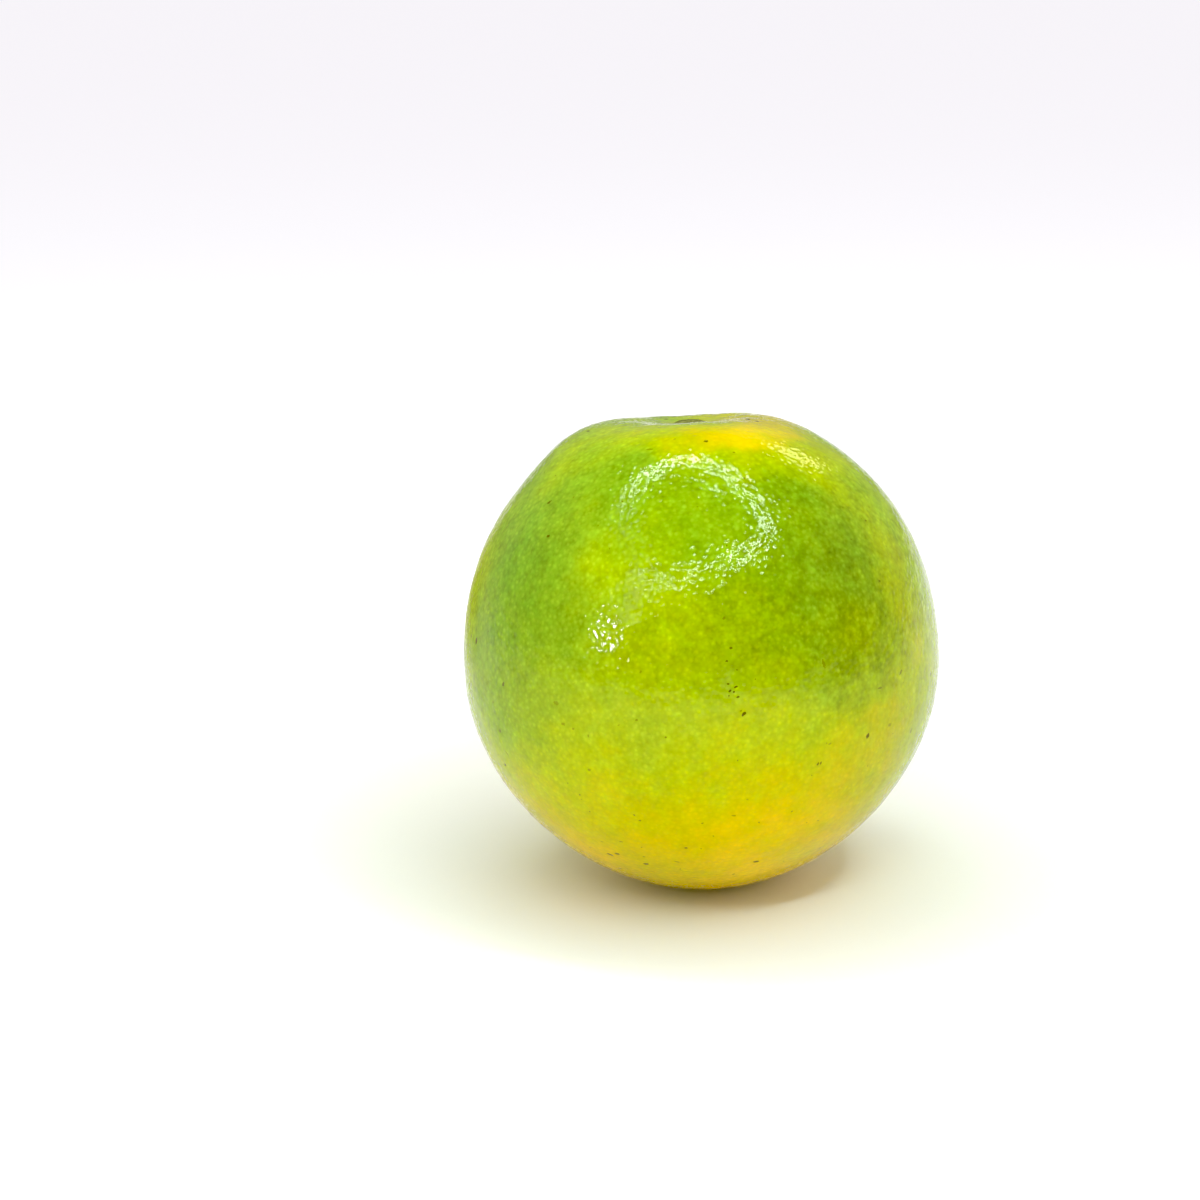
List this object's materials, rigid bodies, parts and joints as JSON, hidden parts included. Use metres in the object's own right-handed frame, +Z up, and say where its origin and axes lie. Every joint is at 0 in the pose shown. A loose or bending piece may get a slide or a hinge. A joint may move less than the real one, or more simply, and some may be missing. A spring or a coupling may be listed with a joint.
{
  "type": "juice orange",
  "caption": "Whole round juice orange with green and yellow peel, a shallow stem dimple holding a dried calyx button, and a small flat rest spot.",
  "frame": {"origin": "middle of the small flat spot that the fruit rests on", "axes": "+Z up with the fruit at rest; the stem end points up and leans 6.9 degrees back towards +Y and 2.6 degrees to the left towards -X; -Y is the side that faces the viewer"},
  "size_m": [0.0724, 0.0717, 0.0725],
  "materials": {
    "peel": "waxy citrus peel, green passing to yellow, pebbled by oil glands about 1.1 mm apart, moderately glossy",
    "dried_calyx": "dry woody calyx, mottled grey-olive with a dark brown rim, matt"
  },
  "bodies": {
    "root": {"fruit": "peel", "calyx_button": "dried_calyx"}
  },
  "joints": []
}
